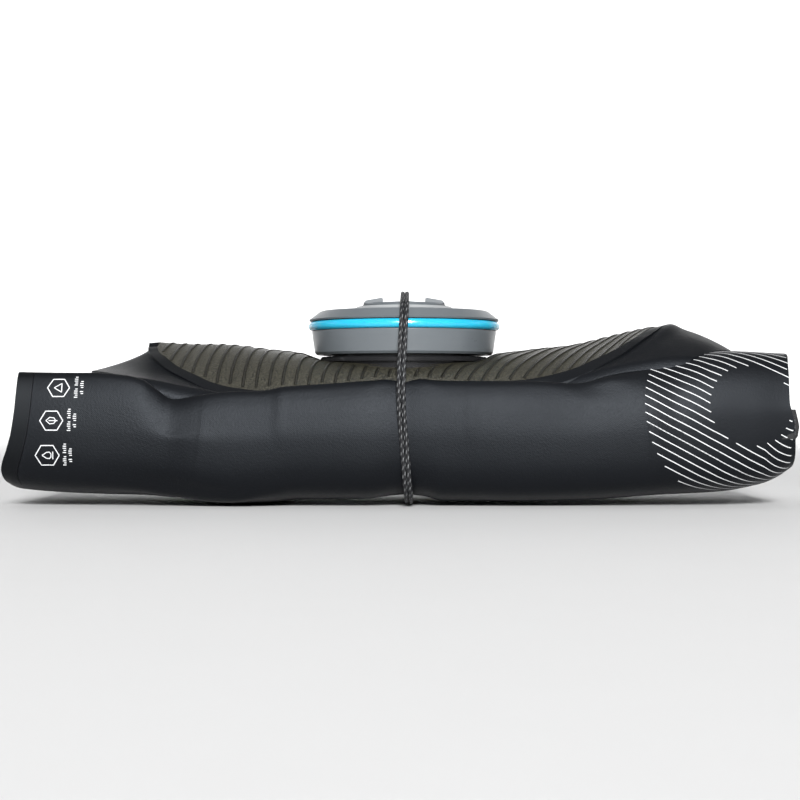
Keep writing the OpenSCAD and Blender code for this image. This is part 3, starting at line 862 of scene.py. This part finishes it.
def swept_by_nodes(lines, material, width, height):
    """Sweeps a low flat-topped profile along an object's edges and bakes it to a plain mesh."""
    tree = bpy.data.node_groups.new("sweep_ribs", "GeometryNodeTree")
    tree.interface.new_socket("Geometry", in_out="INPUT", socket_type="NodeSocketGeometry")
    wide = tree.interface.new_socket("Rib width", in_out="INPUT", socket_type="NodeSocketFloat")
    tall = tree.interface.new_socket("Rib height", in_out="INPUT", socket_type="NodeSocketFloat")
    tree.interface.new_socket("Geometry", in_out="OUTPUT", socket_type="NodeSocketGeometry")
    add, join_up = tree.nodes.new, tree.links.new
    source, result = add("NodeGroupInput"), add("NodeGroupOutput")
    to_curve, normal = add("GeometryNodeMeshToCurve"), add("GeometryNodeSetCurveNormal")
    normal.mode = "Z_UP"
    profile, sweep = add("GeometryNodeCurvePrimitiveQuadrilateral"), add("GeometryNodeCurveToMesh")
    profile.mode = "TRAPEZOID"
    profile.inputs["Offset"].default_value = 0
    narrow = add("ShaderNodeMath")
    narrow.operation = "MULTIPLY"
    narrow.inputs[1].default_value = 0.55
    sweep.inputs["Fill Caps"].default_value = True
    real, paint = add("GeometryNodeRealizeInstances"), add("GeometryNodeSetMaterial")
    paint.inputs["Material"].default_value = material
    join_up(source.outputs["Geometry"], to_curve.inputs["Mesh"])
    join_up(to_curve.outputs["Curve"], normal.inputs["Curve"])
    join_up(source.outputs["Rib width"], narrow.inputs[0])
    join_up(source.outputs["Rib width"], profile.inputs["Bottom Width"])
    join_up(narrow.outputs[0], profile.inputs["Top Width"])
    join_up(source.outputs["Rib height"], profile.inputs["Height"])
    join_up(normal.outputs["Curve"], sweep.inputs["Curve"])
    join_up(profile.outputs["Curve"], sweep.inputs["Profile Curve"])
    join_up(sweep.outputs["Mesh"], real.inputs["Geometry"])
    join_up(real.outputs["Geometry"], paint.inputs["Geometry"])
    join_up(paint.outputs["Geometry"], result.inputs[0])
    modifier = lines.modifiers.new("ribs", "NODES")
    modifier.node_group = tree
    modifier[wide.identifier] = width
    modifier[tall.identifier] = height
    return baked(lines)


def baked(obj):
    """The evaluated mesh as a plain object of the same name, with no modifiers left."""
    graph = bpy.context.evaluated_depsgraph_get()
    mesh = bpy.data.meshes.new_from_object(obj.evaluated_get(graph))
    obj.modifiers.clear()
    obj.data = mesh
    face_outwards(obj)
    return obj


class BAG_OT_prints(PieceOperator, bpy.types.Operator):
    """Print the plain marks and the hatched roundel on the front panel"""
    bl_idname = "bag.prints"
    bl_label = "Printed Marks"

    def make(self, scene):
        ink = printed_ink("white_ink", scene.bag_sizes.ink_tint)
        left = PrintMap((-146, -140, -130, -120, -110), 32.4)
        right = PrintMap((86, 95, 105, 115, 125, 135, 146), 38.2)
        points, faces = [], []
        for surface, marks in ((left, self.icons(left)), (right, self.roundel())):
            for path, width in marks:
                self.stroke(points, faces, np.asarray(path, float), width, surface)
        piece = link("printed_marks", np.array(points) * MM, faces, ink)
        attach(piece, "bag")

    def stroke(self, points, faces, path, width, surface):
        """A ribbon of ink, its path given in millimetres on the flat cloth."""
        step = 0.8
        run = np.concatenate([[0], np.cumsum(np.linalg.norm(np.diff(path, axis=0), axis=1))])
        count = max(2, int(run[-1] / step) + 1)
        at = np.unique(np.concatenate([np.linspace(0, run[-1], count), run]))
        line = np.stack([np.interp(at, run, path[:, k]) for k in (0, 1)], 1)
        along = np.gradient(line, axis=0)
        along /= np.maximum(np.linalg.norm(along, axis=1, keepdims=True), 1e-9)
        across = np.stack([-along[:, 1], along[:, 0]], 1) * width / 2
        rows = [surface.points(flat[:, 0], flat[:, 1], 0.1) for flat in (line - across, line + across)]
        base = len(points)
        points.extend(np.concatenate(rows).tolist())
        n = len(line)
        faces.extend([(base + k, base + k + 1, base + n + k + 1, base + n + k) for k in range(n - 1)])

    def icons(self, surface):
        """Three hexagons with a plain sign in each, and blank bars where words would stand."""
        marks = []
        for (cx, z), size, sign in (((-126.3, 44.5), 4.1, "arrow"), ((-128.6, 32.4), 4.3, "leaf"),
                                    ((-130.2, 19.6), 4.5, "drop")):
            t = surface.at_height(-127, z)
            hexagon = [(cx + size * math.cos(a), t + size * 0.94 * math.sin(a))
                       for a in np.radians(np.arange(0, 361, 60))]
            marks.append((hexagon, 0.38))
            signs = {
                "arrow": [[(-1.6, 0), (1.2, -1.7), (1.2, 1.7), (-1.6, 0)]],
                "leaf": [[(-2, 0), (-0.6, -1.2), (1, -1), (1.7, 0), (1, 1), (-0.6, 1.2), (-2, 0)],
                         [(-1, 0), (2.3, 0)]],
                "drop": [[(-1.9, 0), (-0.3, -1.1), (0.8, -1.2), (1.4, -0.6), (1.4, 0.6), (0.8, 1.2),
                          (-0.3, 1.1), (-1.9, 0)],
                         [(2.1, -1.4), (2.1, 1.4)]],
            }
            for path in signs[sign]:
                marks.append(([(cx + x, t + y) for x, y in path], 0.34))
            for row, (offset, half) in enumerate(((6.5, 4.2), (8.6, 2.4))):
                for k, y in enumerate(np.arange(-half, half, 0.78)):
                    if (k + row) % 7 != 5:
                        low = 0.62 if k % 3 else 0.3
                        marks.append(([(cx + offset - low, t + y), (cx + offset + 0.62, t + y)], 0.36))
        return marks

    def roundel(self):
        """A ring of parallel hatching."""
        cx, t, outer, inner, pitch, slope = 129.5, 0.0, 39.2, 15.2, 2.85, math.radians(28)
        marks = []
        direction = np.array([math.cos(slope), math.sin(slope)])
        across = np.array([-direction[1], direction[0]])
        for k in range(-13, 14):
            d = (k + 0.3) * pitch
            if abs(d) >= outer:
                continue
            far = math.sqrt(outer**2 - d**2)
            near = math.sqrt(inner**2 - d**2) if abs(d) < inner else 0
            spans = [(-far, -near), (near, far)] if near else [(-far, far)]
            for a, b in spans:
                line = [np.array([cx, t]) + across * d + direction * v for v in np.linspace(a, b, 40)]
                line = [p for p in line if p[0] < 145.3]
                if len(line) > 2:
                    marks.append((line, 0.34))
        return marks


class PrintMap:
    """Lays flat artwork on the roll: x along it, t down the cloth from height z on its front."""

    def __init__(self, places, z):
        self.places, self.t = np.array(places, float), np.linspace(-70, 70, 281)
        self.rows = []
        for x in places:
            u, run, front, height = self.table(x)
            zero = np.interp(-z, -height, run[front])
            self.rows.append(np.interp(self.t + zero, run, u))
        self.rows = np.array(self.rows)
        self.zero = z

    def table(self, x):
        """u and length run down the cloth at one x, and the height of its front part."""
        u = np.linspace(-0.16, 0.7, 500)
        p, _ = roll_surface(s_of(x + 0 * u, u), u, 0.0)
        run = np.concatenate([[0], np.cumsum(np.linalg.norm(np.diff(p, axis=0), axis=1))])
        front = (u > 0.08) & (u < 0.3)
        return u, run, front, p[front, 2]

    def at_height(self, x, z):
        """t of height z at one place x."""
        _, run, front, height = self.table(x)
        return float(np.interp(-z, -height, run[front]) - np.interp(-self.zero, -height, run[front]))

    def points(self, x, t, proud):
        """Points on the roll, proud millimetres over it, of the flat places (x, t)."""
        i = np.clip(np.searchsorted(self.places, x) - 1, 0, len(self.places) - 2)
        f = (x - self.places[i]) / (self.places[i + 1] - self.places[i])
        k = np.clip((t - self.t[0]) / (self.t[1] - self.t[0]), 0, len(self.t) - 1.001)
        j, g = np.floor(k).astype(int), k % 1
        u = ((1 - f) * ((1 - g) * self.rows[i, j] + g * self.rows[i, j + 1])
             + f * ((1 - g) * self.rows[i + 1, j] + g * self.rows[i + 1, j + 1]))
        p, n = roll_surface(s_of(x, u), u, 0.0)
        return p + proud * n


def s_of(x, u):
    """Place along the roll, 0 to 1, of a point at x on the turn at u."""
    left = smooth(LEFT_END, u % 1)
    right = smooth(RIGHT_END, u % 1)
    return (x - left) / (right - left)


class BAG_OT_trim(PieceOperator, bpy.types.Operator):
    """Sew on the webbing tab at the right-hand end and the cord's anchor tab"""
    bl_idname = "bag.trim"
    bl_label = "Webbing and Thread"

    def make(self, scene):
        webbing = woven("webbing", (0.004, 0.004, 0.005))
        thread = woven("thread", (0.05, 0.052, 0.058))
        self.tab(webbing)
        self.stitches(thread)
        use("cord_anchor", webbing)
        use("anchor_rivet", metal("rivet_metal", (0.55, 0.56, 0.57), 0.3))

    def tab(self, webbing):
        """The folded loop of webbing, standing out a little from the roll's end."""
        low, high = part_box("lanyard_tab")
        z = np.linspace(low[2] + 0.0015, high[2] - 0.0005, 30)
        t = (z - z[0]) / (z[-1] - z[0])
        out = 0.0014 * np.interp(t, (0, 0.1, 0.42, 0.6, 1), (0, 0.6, 1, 0.75, 0))
        around = np.linspace(-1, 1, 17)[:, None]
        x = low[0] - 0.0052 + (out + 0.0044) * (1 - np.abs(around) ** 6)
        y = (low[1] + high[1]) / 2 + 0.0009 * around
        top = np.stack([x, y + 0 * x, z + 0 * x], -1)
        under = top + [-0.0008, 0, 0]
        piece = shell("lanyard_webbing", top, under, webbing)
        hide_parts("lanyard_tab")
        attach(piece, "bag")

    def stitches(self, thread):
        """Four short stitches through the tab."""
        low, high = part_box("lanyard_tab")
        y, x = (low[1] + high[1]) / 2 - 0.0009, low[0] - 0.0012
        rows = [tube("stitch", [(x, y + 0.0002, z), (x, y - 0.00012, z + 0.0004), (x, y - 0.00012, z + 0.001),
                                (x, y + 0.0002, z + 0.0014)], 0.00014, 8, thread)
                for z in np.linspace(low[2] + 0.003, high[2] - 0.0035, 4)]
        piece = join("tab_stitches", rows)
        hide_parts("tab_stitching")
        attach(piece, "bag")


def use(node, material):
    """Gives a CAD node its finish."""
    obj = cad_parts[node]
    obj.data.materials.clear()
    obj.data.materials.append(material)


class BAG_OT_lid(PieceOperator, bpy.types.Operator):
    """Finish the mouth ring, the lid and the small port"""
    bl_idname = "bag.lid"
    bl_label = "Lid"

    def make(self, scene):
        lid = scene.bag_lid
        grey = moulded("lid_plastic", lid.grey_tint, 0.3, 0.35, Specular_IOR_Level=0.65)
        use("lid_shell", grey)
        use("lid_cover", self.cover(lid.grey_tint, lid.disc_tint_painted_reflection))
        use("port_plug", moulded("plug_plastic", lid.grey_tint, 0.32, 0.3))
        # The seat takes a darker share of the disc's painted reflection.
        use("port_seat", moulded("seat_plastic", tuple(c * 0.55 for c in lid.disc_tint_painted_reflection), 0.4))
        use("grip_ring", moulded("ring_plastic", lid.ring_tint, 0.22, 0.1, Coat_Weight=0.4,
                                 Subsurface_Weight=0.25, Subsurface_Scale=0.002))
        use("mouth_ring", moulded("neck_plastic", (0.012, 0.012, 0.013), 0.16, 0.1))
        # Painted reflection: the disc is made light grey for the pale surround it mirrors.
        use("plug_disc", moulded("disc_plastic", lid.disc_tint_painted_reflection, 0.3, 0.15))
        rubber = moulded("seal_rubber", (0.025, 0.025, 0.027), 0.6)
        use("lid_gasket", rubber)
        use("plug_oring", rubber)

    def cover(self, grey, bright):
        """The lid's grey, with a painted reflection round the port: a lighter patch for the pale surround it
        mirrors.
        """
        f = Finish("cover_painted_reflection_plastic")
        x, y, _ = f.axes(f.place())
        x = x - LID_AXIS[0]
        radius = (x * x + y * y).math("SQRT")
        # Painted reflection: within 20.6 mm of the axis the top is made lighter.
        painted_reflection_patch = ((0.0206 - radius) * 4000).clamped()
        grain = f.noise(f.place(), 2600, 2)
        f.feed("Base Color", f.mix(painted_reflection_patch, rgba(grey), rgba(bright, 0.62)))
        f.feed("Roughness", grain * 0.1 + 0.31)
        f.feed("Normal", f.relief(grain, 0.00004, 0.3))
        return f.material


class BAG_OT_studio(PieceOperator, bpy.types.Operator):
    """Set up the pale floor, the backdrop and the soft lights"""
    bl_idname = "bag.studio"
    bl_label = "Studio"

    def make(self, scene):
        self.sweep(scene.bag_stage)
        world = bpy.data.worlds.new("studio")
        world.use_nodes = True
        world.node_tree.nodes["Background"].inputs["Color"].default_value = (0.9, 0.92, 0.95, 1)
        # The camera sees a pale surround, but only a little of it lights the bag
        nodes, links = world.node_tree.nodes, world.node_tree.links
        seen, gain = nodes.new("ShaderNodeLightPath"), nodes.new("ShaderNodeMath")
        gain.operation = "MULTIPLY_ADD"
        gain.inputs[1].default_value, gain.inputs[2].default_value = 0.8, 0.08
        links.new(seen.outputs["Is Camera Ray"], gain.inputs[0])
        links.new(gain.outputs[0], nodes["Background"].inputs["Strength"])
        scene.world = world
        scene.view_settings.view_transform = "Standard"
        self.light("key", (0.12, -3.3, 1.45), (0, 0, 0.04), 0.85, 0.85, 240)
        self.light("top", (0.0, 0.05, 0.95), (0, 0, 0.04), 1.0, 0.6, 1.6)
        self.light("left_strip", (-1.0, 0.1, 0.4), (0, 0, 0.04), 0.3, 0.7, 0.5)
        self.light("right_strip", (1.0, 0.1, 0.4), (0, 0, 0.04), 0.3, 0.7, 0.5)
        self.light("back", (0, 1.3, 1.2), (0, 2.3, 0.3), 2.4, 0.8, 46)

    def sweep(self, stage):
        """Floor that curves up into a backdrop."""
        y = np.concatenate([np.linspace(-3, 1.6, 24), 1.6 + 0.9 * np.sin(np.linspace(0.08, math.pi / 2, 16)),
                            np.full(6, 2.5)])
        z = np.concatenate([np.zeros(24), 0.9 - 0.9 * np.cos(np.linspace(0.08, math.pi / 2, 16)),
                            np.linspace(1.1, 3.5, 6)])
        x = np.linspace(-4, 4, 9)[:, None]
        grid = np.stack([x + 0 * y, y + 0 * x, z + 0 * x], -1)
        rows, cols = grid.shape[:2]
        faces = [(i * cols + j, (i + 1) * cols + j, (i + 1) * cols + j + 1, i * cols + j + 1)
                 for i in range(rows - 1) for j in range(cols - 1)]
        f = Finish("pale_floor", Specular_IOR_Level=0.2)
        dust = f.noise(f.place(), 40, 2)
        f.feed("Base Color", f.mix(dust, rgba(stage.floor_tint, 0.99), rgba(stage.floor_tint, 1.01)))
        f.feed("Roughness", dust * 0.05 + 0.7)
        floor = link("floor", grid.reshape(-1, 3), faces, f.material)

    def light(self, name, place, target, wide, deep, power):
        """A soft rectangular light at place, turned to target. Sizes in metres, power in watts."""
        data = bpy.data.lights.new(name, "AREA")
        data.shape = "RECTANGLE"
        data.size, data.size_y = wide, deep
        data.energy = power
        obj = bpy.data.objects.new(name, data)
        obj.location = place
        obj.rotation_euler = (Vector(target) - Vector(place)).to_track_quat("-Z", "Y").to_euler()
        bpy.context.scene.collection.objects.link(obj)


class BAG_PT_sidebar(bpy.types.Panel):
    """Buttons in the order in which the bag is made"""
    bl_idname = "BAG_PT_sidebar"
    bl_label = "Water Bag"
    bl_space_type = "VIEW_3D"
    bl_region_type = "UI"
    bl_category = "Water Bag"

    def draw(self, context):
        scene = context.scene
        for settings in (scene.bag_sizes, scene.bag_lid, scene.bag_cord, scene.bag_stage):
            box = self.layout.box()
            for name in settings.__annotations__:
                box.prop(settings, name)
        for operator in OPERATORS:
            self.layout.operator(operator.bl_idname)


SETTINGS = {"bag_sizes": BagSettings, "bag_lid": LidSettings, "bag_cord": CordSettings,
            "bag_stage": StageSettings}
OPERATORS = (BAG_OT_camera, BAG_OT_cord, BAG_OT_panels, BAG_OT_mouth_panel, BAG_OT_prints, BAG_OT_trim,
             BAG_OT_lid, BAG_OT_studio)


def register():
    for cls in (*SETTINGS.values(), *OPERATORS, BAG_PT_sidebar):
        bpy.utils.register_class(cls)
    for name, cls in SETTINGS.items():
        setattr(bpy.types.Scene, name, PointerProperty(type=cls))


def unregister():
    for name in SETTINGS:
        delattr(bpy.types.Scene, name)
    for cls in (BAG_PT_sidebar, *reversed(OPERATORS), *reversed(SETTINGS.values())):
        bpy.utils.unregister_class(cls)


def main():
    register()
    sizes = bpy.context.scene.bag_sizes
    for name in ("cloth", "wind", "panel_a", "panel_b", "border"):
        SIZES[name] = getattr(sizes, name) / MM
    for operator in OPERATORS:
        getattr(bpy.ops.bag, operator.bl_idname.split(".")[1])()


if __name__ == "__main__":
    main()
